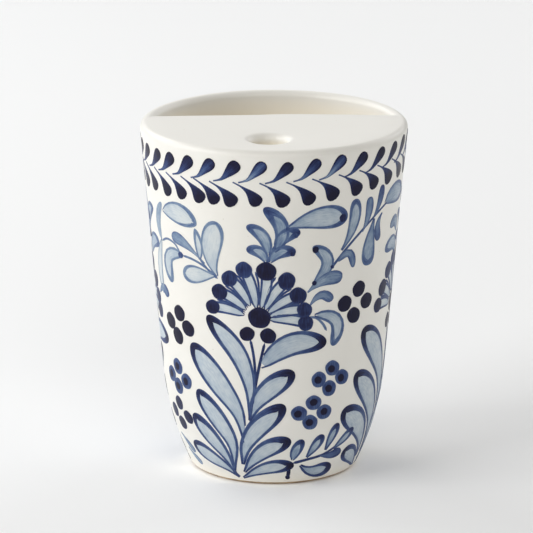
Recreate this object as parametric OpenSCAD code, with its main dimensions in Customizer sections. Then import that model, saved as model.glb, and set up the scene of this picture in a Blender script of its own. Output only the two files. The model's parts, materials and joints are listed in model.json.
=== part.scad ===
// Hand-painted tin-glazed pottery vase: a round tapered cup whose mouth is
// half closed by a flat half-moon deck with one hole in it.
//
// Frame: millimetres, +Z up. The origin is the centre of the foot's underside.
// The deck and its hole lie on the -Y side, which is the front of the painting,
// and the open half of the mouth lies on the +Y side.

/* [Body] */
// Height from the foot to the rim
vase_h = 115; // [95:1:140]
// Widest diameter, at the rim
rim_d = 86.5; // [76:0.5:100]
// Lean of the straight part of the wall, in degrees
wall_lean = 5; // [3:0.5:6]
// Height at which the straight wall turns into the rounded lower part
turn_h = 34; // [25:1:45]
// Radius of the rounded lower part, seen from the side
belly_r = 97; // [90:1:130]
// Thickness of the glazed wall
wall_t = 4.2; // [3:0.1:6]
// Thickness of the glaze coat
glaze_t = 0.35; // [0.2:0.05:0.5]

/* [Foot] */
// Thickness of the clay floor, measured from the foot's underside
floor_t = 5.6; // [4.5:0.1:8]
// Height at which the glaze starts, above the bare foot
glaze_line = 0.8; // [0.8:0.1:2]
// Width of the ring that the vase stands on
foot_w = 4.5; // [3:0.5:7]
// Depth of the hollow inside the foot ring
foot_recess = 1.5; // [1:0.1:2]
// Radius of the rounded corner inside, between floor and wall
floor_round = 4; // [2:0.5:6]

/* [Deck] */
// Thickness of the glazed deck
deck_t = 4.8; // [4:0.1:6]
// Distance from the axis to the middle of the deck's free edge
deck_reach = 7.9; // [5:0.1:10]
// How far the middle of the free edge bows out past its ends
deck_bow = 2.2; // [1:0.1:4]
// Radius of the rounding along the free edge
deck_round = 1.4; // [1:0.1:1.8]
// Size of the fillet of slip under the deck
slip_fillet = 2.5; // [1.5:0.5:4]

/* [Hole] */
// Diameter of the hole's straight throat
hole_d = 11.8; // [9:0.2:13]
// Place of the hole, as a share of the rim's radius
hole_share = 0.6; // [0.45:0.05:0.6]
// How far the hole sits to the side of the middle
hole_x = -2; // [-4:0.5:4]
// Radius of the rounding at the hole's mouth
mouth_round = 2.4; // [1.5:0.1:2.6]
// Radius of the rounding at the hole's lower end
under_round = 0.8; // [0.6:0.1:1]

/* [Hidden] */

// Straight steps that stand for a round in an outline
round_steps = 16;
// Room that a cutting shape runs past what it cuts
past = 5;
// How far a fillet of slip stops short of feathering out
seam_edge = 0.8;
// Half the wall is the radius of its rounded lip
lip_r = wall_t / 2;
// Middle of the lip's round section
lip_x = rim_d / 2 - lip_r;
lip_z = vase_h - lip_r;
// Where the outside turns from straight to round, and the middle of that round
turn_x = lip_x + lip_r / cos(wall_lean) - (lip_z - turn_h) * tan(wall_lean);
belly_x = turn_x - belly_r * cos(wall_lean);
belly_z = turn_h + belly_r * sin(wall_lean);
// The deck ends just inside the lip's crown, where the lip is all but flat
deck_r = lip_x - lip_r / 4;
deck_low = vase_h - deck_t;
// The free edge is part of a wide round, whose middle lies behind the hole
bow_r = (pow(deck_r, 2) + pow(deck_bow, 2)) / (2 * deck_bow);
bow_y = deck_reach - bow_r;
hole_y = -hole_share * rim_d / 2;

// Points along a round, from one direction to another
function arc_points(middle, radius, from, to) = [
    for (i = [0:round_steps])
        let (turn = from + (to - from) * i / round_steps)
        middle + radius * [cos(turn), sin(turn)]
];

// Points up the rounded lower part at a depth below the outside
function belly_points(depth, from, to = -wall_lean) =
    arc_points([belly_x, belly_z], belly_r - depth, from, to);

// The direction of a height, seen from the middle of the belly's round
function belly_turn(z, depth) = -asin((belly_z - z) / (belly_r - depth));

// Where the straight side ends and the lip begins, at a depth below the outside
function lip_point(depth) =
    [lip_x, lip_z] + (lip_r - depth) * [cos(wall_lean), -sin(wall_lean)];

// Points over the lip, from the outside to the inside
function lip_points(radius) =
    arc_points([lip_x, lip_z], radius, -wall_lean, 180 - wall_lean);

// A list of points the other way round
function backwards(points) = [for (i = [len(points) - 1:-1:0]) points[i]];

// Radius of the straight side at a height, at a depth below the outside
function side_x(z, depth) =
    lip_x + (lip_r - depth) / cos(wall_lean) - (lip_z - z) * tan(wall_lean);

// The inside's lower corner: its middle, and where it meets the side, seen
// from the middle of the belly's round
corner_z = floor_t + glaze_t + floor_round;
corner_reach = belly_r - wall_t - floor_round;
corner_turn = -asin((belly_z - corner_z) / corner_reach);
corner_x = belly_x + corner_reach * cos(corner_turn);
corner = [corner_x, corner_z];

// The half-moon's section out from the middle of its wide round, pulled in by
// a coat's thickness
module deck_section(coat) {
    bend = deck_round - coat;
    far = bow_r - deck_round;
    polygon(concat(
        [[0, vase_h - coat]],
        backwards(arc_points([far, vase_h - deck_round], bend, 0, 90)),
        backwards(arc_points([far, deck_low + deck_round], bend, -90, 0)),
        [[0, deck_low + coat]]
    ));
}

// The solid half-moon, pulled in by a coat's thickness
module half_moon(coat) {
    intersection() {
        translate([0, bow_y, 0]) rotate_extrude($fn = 360) deck_section(coat);
        cylinder(r = deck_r, h = vase_h + past, $fn = 180);
    }
}

// The hole's cutting shape: a throat that flares at both ends
module hole_cut(coat) {
    throat = hole_d / 2 + coat;
    wide = mouth_round - coat;
    slim = under_round - coat;
    top = [throat + wide, vase_h - mouth_round];
    low = [throat + slim, deck_low + under_round];
    translate([hole_x, hole_y, 0]) rotate_extrude($fn = 96) polygon(concat(
        [[0, vase_h + past], [top.x, vase_h + past]],
        arc_points(top, wide, 90, 180),
        arc_points(low, slim, 180, 270),
        [[low.x, deck_low - past], [0, deck_low - past]]
    ));
}

// Floor of fired clay with a turned foot ring, bare underneath
module base_disc() color("#c69a6b") {
    foot = belly_turn(0, glaze_t);
    foot_in = belly_x + (belly_r - glaze_t) * cos(foot) - foot_w;
    rotate_extrude($fn = 180) polygon(concat(
        [[0, foot_recess], [foot_in, foot_recess], [foot_in, 0]],
        belly_points(glaze_t, foot, belly_turn(floor_t, glaze_t)),
        [[0, floor_t]]
    ));
}

// Wall of fired clay that stands on the floor, with a seat cut for the deck
module body_wall() color("#d9a679") difference() {
    deep = wall_t - glaze_t;
    rotate_extrude($fn = 180) polygon(concat(
        belly_points(glaze_t, belly_turn(floor_t, glaze_t)),
        lip_points(lip_r - glaze_t),
        backwards(belly_points(deep, belly_turn(floor_t, deep)))
    ));
    half_moon(0);
}

// Half-moon slab of fired clay that closes the front half of the mouth
module deck_slab() color("#d09c6e") difference() {
    half_moon(glaze_t);
    hole_cut(glaze_t);
}

// Ring of slip that joins the wall to the floor, with blunt edges
module floor_seam() color("#b98a5e") {
    deep = wall_t - glaze_t;
    bend = floor_round + glaze_t;
    top = floor_t + floor_round / 2;
    rotate_extrude($fn = 180) polygon(concat(
        [[corner_x + seam_edge, floor_t]],
        belly_points(deep, belly_turn(floor_t, deep), belly_turn(top, deep)),
        arc_points(corner, bend, -asin((corner_z - top) / bend), -acos(seam_edge / bend))
    ));
}

// Fillet of slip in the corner between the wall and the deck's underside
module deck_seam() color("#b98a5e") {
    low = deck_low - slip_fillet + seam_edge;
    middle = [side_x(deck_low - slip_fillet, wall_t) - slip_fillet, deck_low - slip_fillet];
    edge_turn = asin(seam_edge / slip_fillet);
    intersection() {
        rotate_extrude($fn = 180) polygon(concat(
            [[side_x(deck_low, wall_t), deck_low], [middle.x + seam_edge, deck_low]],
            arc_points(middle, slip_fillet, 90 - edge_turn, edge_turn),
            [[side_x(low, wall_t), low]]
        ));
        translate([-rim_d, -rim_d, 0])
            cube([2 * rim_d, rim_d + deck_reach - deck_bow - deck_round, vase_h]);
    }
}

// White tin glaze over the outside and the lip
module outer_glaze() color("#ece8e0") difference() {
    rotate_extrude($fn = 180) polygon(concat(
        belly_points(0, belly_turn(glaze_line, 0)),
        lip_points(lip_r),
        backwards(lip_points(lip_r - glaze_t)),
        backwards(belly_points(glaze_t, belly_turn(glaze_line, glaze_t)))
    ));
    half_moon(0);
}

// White tin glaze over the floor, round the corner and up the inside
module inner_glaze() color("#e4dfd4") difference() {
    deep = wall_t - glaze_t;
    rotate_extrude($fn = 180) polygon(concat(
        [[0, floor_t]],
        arc_points(corner, floor_round + glaze_t, -90, corner_turn),
        belly_points(deep, corner_turn),
        [lip_point(deep), lip_point(wall_t)],
        backwards(belly_points(wall_t, corner_turn)),
        backwards(arc_points(corner, floor_round, -90, corner_turn)),
        [[0, floor_t + glaze_t]]
    ));
    half_moon(0);
}

// White tin glaze round the deck and down through its hole
module deck_glaze() color("#f0ede6") difference() {
    half_moon(0);
    difference() {
        half_moon(glaze_t);
        hole_cut(glaze_t);
    }
    hole_cut(0);
}

base_disc();
body_wall();
deck_slab();
floor_seam();
deck_seam();
outer_glaze();
inner_glaze();
deck_glaze();
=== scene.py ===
"""Hand-painted pottery vase: the visual model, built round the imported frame.

The builders work in millimetres and hand over finished meshes in metres. The
painting is laid out on the unrolled wall: x runs round the vase to the right
and z runs up it, both in millimetres, from the front of each motif.
"""
import json
import logging
import math
import random
from collections.abc import Callable, Sequence
from dataclasses import dataclass, field
from enum import Enum
from functools import cached_property

import bmesh
import bpy
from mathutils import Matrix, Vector


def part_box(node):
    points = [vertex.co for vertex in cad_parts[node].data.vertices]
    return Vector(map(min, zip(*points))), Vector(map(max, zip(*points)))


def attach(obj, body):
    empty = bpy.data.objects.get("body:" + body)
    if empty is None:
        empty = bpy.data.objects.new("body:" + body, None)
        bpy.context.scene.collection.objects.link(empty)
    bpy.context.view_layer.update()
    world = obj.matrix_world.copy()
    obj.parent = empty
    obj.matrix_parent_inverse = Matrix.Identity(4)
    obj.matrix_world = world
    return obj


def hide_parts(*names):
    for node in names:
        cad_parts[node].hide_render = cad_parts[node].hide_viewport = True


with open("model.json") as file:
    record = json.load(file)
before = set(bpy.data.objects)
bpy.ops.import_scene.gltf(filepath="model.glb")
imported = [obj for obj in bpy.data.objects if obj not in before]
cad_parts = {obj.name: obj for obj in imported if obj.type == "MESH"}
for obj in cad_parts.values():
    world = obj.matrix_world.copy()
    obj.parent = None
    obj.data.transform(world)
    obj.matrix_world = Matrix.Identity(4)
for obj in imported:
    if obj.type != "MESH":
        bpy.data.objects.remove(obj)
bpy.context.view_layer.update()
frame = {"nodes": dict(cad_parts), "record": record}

LOG = logging.getLogger("vase")
MM = 0.001
FULL_TURN = 2.0 * math.pi

Point = tuple[float, float]
Colour = tuple[float, float, float]
Tone = Callable[[float, float], float]


class Slot(Enum):
    """Names of the record's material slots that the pieces' finishes stand for."""

    CLAY = "bare_clay"
    GLAZE = "white_glaze"
    PAINT = "cobalt_paint"


def mix(low: float, high: float, share: float) -> float:
    """Returns the value a share of the way from low to high."""
    return low + (high - low) * share


def ease(value: float) -> float:
    """Returns a value between 0 and 1, eased in and out and held at the ends."""
    held = min(max(value, 0.0), 1.0)
    return held * held * (3.0 - 2.0 * held)


def slowing(share: float, power: float) -> float:
    """Returns a share of a way that is run through ever more slowly towards its end."""
    return 1.0 - (1.0 - share) ** power


# ---------------------------------------------------------------- the form


@dataclass(frozen=True)
class Silhouette:
    """The vase's side: a round lower part, a straight leaning wall, a round lip.

    Attributes:
        height: Height of the vase.
        rim_r: Radius of the rim.
        lean: Lean of the straight wall.
        turn_z: Height at which the straight wall turns into the round lower part.
        belly_r: Radius of that round, seen from the side.
        wall: Thickness of the wall with its coats.
        floor_z: Height of the floor inside, and corner_r the round at its edge.
    """

    height: float
    rim_r: float
    lean: float = math.radians(5.0)
    turn_z: float = 34.0
    belly_r: float = 97.0
    wall: float = 4.2
    floor_z: float = 5.95
    corner_r: float = 4.0

    @property
    def lip_r(self) -> float:
        """Radius of the lip's round section."""
        return self.wall / 2.0

    @property
    def lip_x(self) -> float:
        """Distance of the lip's crown from the axis."""
        return self.rim_r - self.lip_r

    @property
    def lip_z(self) -> float:
        """Height of the middle of the lip's round section."""
        return self.height - self.lip_r

    @property
    def belly_x(self) -> float:
        """Distance from the axis to the middle of the lower part's round."""
        return self.straight(self.turn_z) - self.belly_r * math.cos(self.lean)

    @property
    def belly_z(self) -> float:
        """Height of the middle of the lower part's round."""
        return self.turn_z + self.belly_r * math.sin(self.lean)

    def straight(self, z: float, depth: float = 0.0) -> float:
        """Radius of the straight wall at a height, at a depth below the outside."""
        across = (self.lip_r - depth) / math.cos(self.lean)
        return self.lip_x + across - (self.lip_z - z) * math.tan(self.lean)

    def radius(self, z: float, depth: float = 0.0) -> float:
        """Radius of the side at a height, at a depth below the outside.

        Args:
            z: The height.
            depth: Distance below the outside.

        Returns:
            Distance from the axis.
        """
        reach = self.belly_r - depth
        rounding = self.lip_r - depth
        if z > self.lip_z - rounding * math.sin(self.lean):
            return self.lip_x + math.sqrt(max(rounding ** 2 - (z - self.lip_z) ** 2, 0.0))
        if z > self.belly_z - reach * math.sin(self.lean):
            return self.straight(z, depth)
        return self.belly_x + math.sqrt(reach ** 2 - (self.belly_z - z) ** 2)

    def climb(self, low: float, high: float, depth: float, steps: int) -> list[Point]:
        """Points up the side.

        Args:
            low: The lowest height.
            high: The highest height.
            depth: Distance below the outside.
            steps: Number of stretches between points.

        Returns:
            The points, as distance from the axis and height.
        """
        heights = [mix(low, high, i / steps) for i in range(steps + 1)]
        return [(self.radius(z, depth), z) for z in heights]


def arc(middle: Point, radius: float, start: float, end: float, steps: int) -> list[Point]:
    """Points along a round between two directions in degrees."""
    turns = [math.radians(mix(start, end, i / steps)) for i in range(steps + 1)]
    return [(middle[0] + radius * math.cos(a), middle[1] + radius * math.sin(a)) for a in turns]


@dataclass(frozen=True)
class Hand:
    """The small unevenness of a pot shaped by hand, as one smooth shift of space.

    All of it leads inwards or down, so no piece grows past its ideal form.

    Attributes:
        height: Height of the vase.
        deck_edge: Distance of the deck's free edge from the axis.
        sway: Strength of the wall's swell, and inward what keeps it inside.
        still_below: Height up to which the sway grows, and still_within the radius.
        sag: Strength of the rim's unevenness.
        rim_band: How far below the top that starts, and rim_fade how soon it is full.
        edge_wave: Strength of the free edge's waves, and edge_band how far they reach.
        wave_inward: What keeps those waves inside.
    """

    height: float
    deck_edge: float
    sway: float = 0.06
    inward: float = 3.6
    still_below: float = 40.0
    still_within: float = 30.0
    sag: float = 0.07
    rim_band: float = 14.0
    rim_fade: float = 10.0
    edge_wave: float = 0.12
    edge_band: float = 3.0
    wave_inward: float = 1.4

    def shift(self, place: Vector) -> Vector:
        """Moves a point of the ideal form to where the hand left it.

        Args:
            place: The point, in millimetres.

        Returns:
            The moved point, in millimetres.
        """
        turn = math.atan2(place.y, place.x)
        up = ease(place.z / self.still_below)
        reach = math.hypot(place.x, place.y)
        out = ease(reach / self.still_within)
        swell = math.sin(2.0 * turn + 0.7) + 0.6 * math.sin(3.0 * turn - place.z / 31.0)
        ripple = math.sin(place.z / 7.5 + 1.3 * math.sin(turn)) * 0.45
        radial = self.sway * up * out * (swell + ripple - self.inward)
        top = ease((place.z - self.height + self.rim_band) / self.rim_fade)
        dip = math.sin(turn * 2.0 - 0.4) + math.sin(place.x / 11.0) * math.sin(place.y / 9.0)
        drop = self.sag * top * (dip - 2.0)
        near_edge = math.exp(-((place.y - self.deck_edge) / self.edge_band) ** 2) * top
        wave = math.sin(place.x / 9.0 + 0.5) + 0.3 * math.sin(place.x / 4.6 + 1.0)
        scale = 1.0 + radial / max(reach, 1.0)
        return Vector((
            place.x * scale,
            place.y * scale + self.edge_wave * near_edge * (wave - self.wave_inward),
            place.z + drop,
        ))


class Workshop:
    """Turns finished bmeshes into pieces of the object."""

    def __init__(self, hand: Hand) -> None:
        """Keeps the hand whose unevenness every piece shares."""
        self.hand = hand

    def fire(
        self, mesh: bmesh.types.BMesh, name: str, material: bpy.types.Material, slot: Slot,
        sharp_over: float = 40.0, painted_bounce: Callable[[Vector], float] | None = None,
    ) -> bpy.types.Object:
        """Makes a piece of a bmesh.

        Args:
            mesh: The shape in millimetres. It is freed.
            name: The piece's name.
            material: Its finish.
            slot: The record's slot that the finish stands for; not used.
            sharp_over: Edges that bend more than this many degrees stay crisp.
            painted_bounce: How much painted warm light the glaze gets at a point, from 0 outside to 1
                inside.

        Returns:
            The new object, riding on the root body.
        """
        bmesh.ops.recalc_face_normals(mesh, faces=mesh.faces[:])
        # Each vert keeps its share of painted warm light, bounce and floor reflection, for the glaze
        # to read.
        if painted_bounce is not None:
            layer = mesh.verts.layers.float.new("painted_bounce")
            for vert in mesh.verts:
                vert[layer] = painted_bounce(vert.co)
        for vert in mesh.verts:
            vert.co = self.hand.shift(vert.co) * MM
        data = bpy.data.meshes.new(name)
        mesh.to_mesh(data)
        mesh.free()
        data.shade_smooth()
        data.set_sharp_from_angle(angle=math.radians(sharp_over))
        data.materials.append(material)
        piece = bpy.data.objects.new(name, data)
        bpy.context.scene.collection.objects.link(piece)
        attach(piece, "root")
        LOG.info("%s: %d faces", name, len(data.polygons))
        return piece


def turned(outline: Sequence[Point], steps: int) -> bmesh.types.BMesh:
    """Turns an outline about the vase's axis.

    Args:
        outline: Points as distance from the axis and height.
        steps: Number of steps round.

    Returns:
        The turned shape, with its poles closed.
    """
    mesh = bmesh.new()
    verts = [mesh.verts.new((r, 0.0, z)) for r, z in outline]
    edges = [mesh.edges.new(pair) for pair in zip(verts, verts[1:])]
    bmesh.ops.spin(
        mesh, geom=verts + edges, cent=(0.0, 0.0, 0.0), axis=(0.0, 0.0, 1.0),
        angle=FULL_TURN, steps=steps, use_merge=True,
    )
    bmesh.ops.remove_doubles(mesh, verts=mesh.verts[:], dist=0.001)
    return mesh


@dataclass
class Pot:
    """The glazed cup: outside, lip, inside and floor as one closed skin.

    Attributes:
        side: The vase's side.
        glaze_line: Height at which the glaze starts.
        roll: Radius of the glaze's rolled lower edge.
        hidden_z: Height at which the skin closes, out of sight inside the clay.
        steps: Number of steps round.
    """

    side: Silhouette
    glaze_line: float = 0.8
    roll: float = 0.35
    hidden_z: float = 2.6
    steps: int = 192

    def outline(self) -> list[Point]:
        """Points from under the glaze's lower edge, up, over the lip and down inside.

        Returns:
            The points, as distance from the axis and height.
        """
        side = self.side
        lean = math.degrees(side.lean)
        roll_x = side.radius(self.glaze_line + self.roll) - self.roll
        edge = arc((roll_x, self.glaze_line + self.roll), self.roll, -90.0, -10.0, 4)
        outside = side.climb(self.glaze_line + 1.2, side.turn_z, 0.0, 16)
        wall_top = side.lip_z - side.lip_r * math.sin(side.lean)
        outside += side.climb(side.turn_z + 4.0, wall_top - 1.0, 0.0, 18)
        over = arc((side.lip_x, side.lip_z), side.lip_r, -lean, 180.0 - lean, 20)
        corner_z = side.floor_z + side.corner_r
        reach = side.belly_r - side.wall - side.corner_r
        corner_turn = -math.degrees(math.asin((side.belly_z - corner_z) / reach))
        corner_x = side.belly_x + reach * math.cos(math.radians(corner_turn))
        touch_z = corner_z + side.corner_r * math.sin(math.radians(corner_turn))
        inside = side.climb(touch_z + 1.5, side.lip_z - 1.5, side.wall, 26)
        corner = arc((corner_x, corner_z), side.corner_r, -90.0, corner_turn, 8)
        floor = [(corner_x * share, side.floor_z) for share in (0.0, 0.3, 0.55, 0.8)]
        hidden = [(0.0, self.hidden_z), (roll_x - 1.6, self.hidden_z)]
        return hidden + edge + outside + over + inside[::-1] + corner[::-1] + floor[::-1]

    def painted_bounce(self, place: Vector) -> float:
        """Painted warm light: the glaze is painted creamier down inside, for light bounced off the
        walls, and by the foot, for a reflection of the floor.

        Args:
            place: The point, in millimetres.

        Returns:
            The share of painted warm light, from 0 to 1.
        """
        # Painted reflection of the floor on the outside near the foot; painted bounce light on the
        # inside below the rim.
        if math.hypot(place.x, place.y) > self.side.radius(place.z, 0.6 * self.side.wall):
            return 0.5 * ease((6.0 - place.z) / 6.0)
        return ease((self.side.height - 1.0 - place.z) / 6.0)

    def build(self, shop: Workshop, glaze: bpy.types.Material) -> bpy.types.Object:
        """Turns the cup and lets it stand for the clay wall and its coats.

        Args:
            shop: The workshop that makes the pieces.
            glaze: The glaze.

        Returns:
            The glazed cup.
        """
        mesh = turned(self.outline(), self.steps)
        piece = shop.fire(mesh, "glazed_cup", glaze, Slot.GLAZE, painted_bounce=self.painted_bounce)
        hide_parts("body_wall", "floor_seam", "outer_glaze", "inner_glaze")
        return piece


@dataclass
class Foot:
    """The bare clay foot ring and the hollow inside it.

    Attributes:
        side: The vase's side.
        coat: Thickness of the glaze above, which the clay lies under.
        ring: Width of the ring, and rounding the radius of its edges.
        recess: Depth of the hollow.
        steps: Number of steps round.
    """

    side: Silhouette
    coat: float = 0.35
    ring: float = 4.5
    recess: float = 1.5
    rounding: float = 0.5
    steps: int = 144

    def outline(self) -> list[Point]:
        """Points from the middle of the hollow, over the ring and up to the glaze.

        Returns:
            The points, as distance from the axis and height.
        """
        out = self.side.radius(0.0) - self.coat
        inner = out - self.ring
        soft = self.rounding
        hollow = [(0.0, self.recess - 0.15), (inner * 0.5, self.recess - 0.1)]
        hollow += [(inner - 2.2, self.recess), (inner - 1.2, self.recess - 0.15)]
        heel = arc((inner + soft, soft), soft, 200.0, 270.0, 5)
        toe = arc((out - soft, soft), soft, -90.0, 15.0, 6)
        above = self.side.climb(soft + 0.3, 2.2, self.coat, 4)
        return hollow + heel + toe + above + [(0.0, 2.3)]

    def build(self, shop: Workshop, clay: bpy.types.Material) -> bpy.types.Object:
        """Turns the foot and lets it stand for the clay floor.

        Args:
            shop: The workshop that makes the pieces.
            clay: The bare clay.

        Returns:
            The foot.
        """
        piece = shop.fire(turned(self.outline(), self.steps), "bare_foot", clay, Slot.CLAY)
        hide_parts("base_disc")
        return piece


@dataclass
class Deck:
    """The half-moon that closes the front of the mouth, with one flared hole.

    Attributes:
        side: The vase's side.
        reach: Distance of the free edge's middle from the axis.
        thick: Thickness.
        hole: Place of the hole's middle.
        hole_r: Radius of the hole's throat.
        mouth: Radius of the round at the hole's top, and under of that below.
        rounding: Radius of the round along the outline.
        bow: How far the free edge's middle stands out past its ends.
        spokes: Number of verts in each ring.
    """

    side: Silhouette
    reach: float
    thick: float
    hole: Point
    hole_r: float = 5.9
    mouth: float = 2.4
    under: float = 0.8
    rounding: float = 1.4
    bow: float = 2.2
    spokes: int = 192

    def to_round(self, turn: float, middle_y: float, radius: float) -> float:
        """Distance from the hole's middle to a round about a point of the Y axis.

        Args:
            turn: The direction.
            middle_y: Place of the round's middle on that axis.
            radius: The round's radius.

        Returns:
            The distance.
        """
        along = self.hole[0] * math.cos(turn) + (self.hole[1] - middle_y) * math.sin(turn)
        apart = self.hole[0] ** 2 + (self.hole[1] - middle_y) ** 2
        return -along + math.sqrt(along ** 2 - apart + radius ** 2)

    @property
    def bow_r(self) -> float:
        """Radius of the wide round that the free edge is part of."""
        return (self.side.lip_x ** 2 + self.bow ** 2) / (2.0 * self.bow)

    def rim_reach(self, turn: float) -> float:
        """Distance from the hole's middle to the half-moon's outline, in a direction."""
        free = self.to_round(turn, self.reach - self.bow_r, self.bow_r - self.rounding)
        return min(self.to_round(turn, 0.0, self.side.lip_x), free)

    def ring(
        self, mesh: bmesh.types.BMesh, z: float, size: Callable[[float], float],
    ) -> list[bmesh.types.BMVert]:
        """Adds a closed ring of verts about the hole's middle.

        Args:
            mesh: What it is added to.
            z: Its height.
            size: Distance from the hole's middle in each direction.

        Returns:
            The new verts.
        """
        made = bmesh.ops.create_circle(mesh, segments=self.spokes, radius=1.0, cap_ends=False)
        for vert in made["verts"]:
            turn = math.atan2(vert.co.y, vert.co.x)
            far = size(turn)
            x = far * math.cos(turn) + self.hole[0]
            vert.co = Vector((x, far * math.sin(turn) + self.hole[1], z))
        return made["verts"]

    def edge_ring(self, mesh: bmesh.types.BMesh, out: float, z: float) -> list[bmesh.types.BMVert]:
        """Adds a ring along the half-moon's outline, pushed out by a distance.

        Args:
            mesh: What it is added to.
            out: The distance.
            z: Its height.

        Returns:
            The new verts.
        """
        verts = self.ring(mesh, z, self.rim_reach)
        for vert in verts:
            free = Vector((vert.co.x, vert.co.y - self.reach + self.bow_r, 0.0))
            on_free = free.length > self.bow_r - self.rounding - 0.01
            away = free if on_free else Vector((vert.co.x, vert.co.y, 0.0))
            vert.co += away.normalized() * out
        return verts

    def part_way(self, start: float, share: float = 0.0) -> Callable[[float], float]:
        """Distances that lie a share of the way from a round to the outline."""
        return lambda turn: mix(start, self.rim_reach(turn), share)

    def build(self, shop: Workshop, glaze: bpy.types.Material) -> bpy.types.Object:
        """Joins rings from the hole's throat over the top and round the edge underneath.

        Args:
            shop: The workshop that makes the pieces.
            glaze: The glaze.

        Returns:
            The deck.
        """
        mesh = bmesh.new()
        top = self.side.height
        low = top - self.thick
        wide = self.hole_r + self.mouth
        slim = self.hole_r + self.under
        throat_z = mix(low + self.under, top - self.mouth, 0.5)
        rings = [self.ring(mesh, throat_z, self.part_way(self.hole_r))]
        for r, z in arc((wide, top - self.mouth), self.mouth, 180.0, 90.0, 8):
            rings.append(self.ring(mesh, z, self.part_way(r)))
        for share in (0.25, 0.5, 0.75):
            rings.append(self.ring(mesh, top, self.part_way(wide, share)))
        for middle_z, start in ((top - self.rounding, 90.0), (low + self.rounding, 0.0)):
            for out, z in arc((0.0, middle_z), self.rounding, start, start - 90.0, 6):
                rings.append(self.edge_ring(mesh, out, z))
        rings.append(self.ring(mesh, low, self.part_way(slim, 0.5)))
        for r, z in arc((slim, low + self.under), self.under, 270.0, 180.0, 4):
            rings.append(self.ring(mesh, z, self.part_way(r)))
        members = [set(ring) for ring in rings]
        loops = [[edge for edge in mesh.edges if edge.verts[0] in ring] for ring in members]
        for near, far in zip(loops, loops[1:] + loops[:1]):
            bmesh.ops.bridge_loops(mesh, edges=near + far)
        # The deck is painted creamier below its top face, as warm bounced light on its underside and
        # down the hole.
        piece = shop.fire(
            mesh, "deck", glaze, Slot.GLAZE, sharp_over=50.0,
            painted_bounce=lambda place: ease((top - 1.2 - place.z) / 3.0),
        )
        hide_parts("deck_slab", "deck_glaze")
        return piece


# ------------------------------------------------------------ the painting


class Path:
    """A smooth line through a few points of the unrolled wall."""

    def __init__(self, points: Sequence[Point], samples: int = 48) -> None:
        """Samples the line evenly by length.

        Args:
            points: The points it passes through, two or more.
            samples: Number of stretches it is sampled in.
        """
        knots = [Vector(p) for p in points]
        if len(knots) == 2:
            knots.insert(1, (knots[0] + knots[1]) / 2.0)
        if len(knots) == 3:
            raw = [self._bow(knots, i / samples) for i in range(samples + 1)]
        else:
            raw = [self._chain(knots, i / samples) for i in range(samples + 1)]
        self.spots = raw
        self.travel = [0.0]
        for here, there in zip(raw, raw[1:]):
            self.travel.append(self.travel[-1] + (there - here).length)
        self.length = self.travel[-1]

    @staticmethod
    def _bow(knots: Sequence[Vector], t: float) -> Vector:
        """A point on the parabola through three points.

        Args:
            knots: The points.
            t: Share of the way, from 0 to 1.

        Returns:
            The point.
        """
        first = 2.0 * (t - 0.5) * (t - 1.0)
        second = -4.0 * t * (t - 1.0)
        third = 2.0 * t * (t - 0.5)
        return knots[0] * first + knots[1] * second + knots[2] * third

    @staticmethod
    def _chain(knots: Sequence[Vector], t: float) -> Vector:
        """A point on a smooth chain through many points.

        Args:
            knots: The points.
            t: Share of the way, from 0 to 1.

        Returns:
            The point.
        """
        spans = len(knots) - 1
        span = min(int(t * spans), spans - 1)
        u = t * spans - span
        b, c = knots[span], knots[span + 1]
        a = knots[span - 1] if span > 0 else 2.0 * b - c
        d = knots[span + 2] if span + 2 <= spans else 2.0 * c - b
        bend = (c - a) + (2.0 * a - 5.0 * b + 4.0 * c - d) * u + (3.0 * b - a - 3.0 * c + d) * u * u
        return b + bend * u * 0.5

    def at(self, share: float) -> tuple[Vector, Vector]:
        """The point and the leftward direction a share of the way along.

        Args:
            share: How far along, from 0 to 1.

        Returns:
            The point, and the direction to its left.
        """
        goal = min(max(share, 0.0), 1.0) * self.length
        i = 0
        while i < len(self.travel) - 2 and self.travel[i + 1] < goal:
            i += 1
        gap = max(self.travel[i + 1] - self.travel[i], 1e-9)
        here, there = self.spots[i], self.spots[i + 1]
        before = self.spots[max(i - 1, 0)]
        after = self.spots[min(i + 2, len(self.spots) - 1)]
        u = (goal - self.travel[i]) / gap
        run = (there - before).lerp(after - here, u).normalized()
        return here.lerp(there, u), Vector((-run.y, run.x))


class Form(Enum):
    """How a leaf swells from its root to its tip: the powers of its two ends."""

    TEAR = (1.15, 0.5)
    LENS = (0.8, 0.62)
    FULL = (0.75, 0.48)
    COMMA = (1.35, 0.42)
    DROP = (2.3, 0.5)
    TADPOLE = (3.3, 0.6)
    PADDLE = (1.32, 0.5)
    PETAL = (0.5, 0.1)

    def swell(self, share: float) -> float:
        """Half width at a share of the length, where the widest is 1.

        Args:
            share: How far along, from the root at 0 to the tip at 1.

        Returns:
            The half width, from 0 to 1.
        """
        root, tip = self.value
        peak = root / (root + tip)
        return (share / peak) ** root * ((1.0 - share) / (1.0 - peak)) ** tip


@dataclass(frozen=True)
class Leaf:
    """One leaf: a pale wash inside two lines of a loaded brush that meet at the tip.

    Attributes:
        points: Its spine, from the root to the tip.
        width: Its greatest width.
        form: How it swells.
        line: Width of the lines, and tip_line their depth at the tip.
        wash: Pigment of the wash.
        shade: Pigment of the lines, and tip_shade at the tip.
        heavy: Over 0 for a heavier line on the left, under 0 on the right.
        late_left: Share of the left line that is left open at the root.
        late_right: The same on the right.
    """

    points: tuple[Point, ...]
    width: float
    form: Form = Form.TEAR
    line: float = 0.9
    tip_line: float = 1.4
    wash: float = 0.08
    shade: float = 0.65
    tip_shade: float = 0.78
    heavy: float = 0.0
    late_left: float = 0.0
    late_right: float = 0.0


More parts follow.
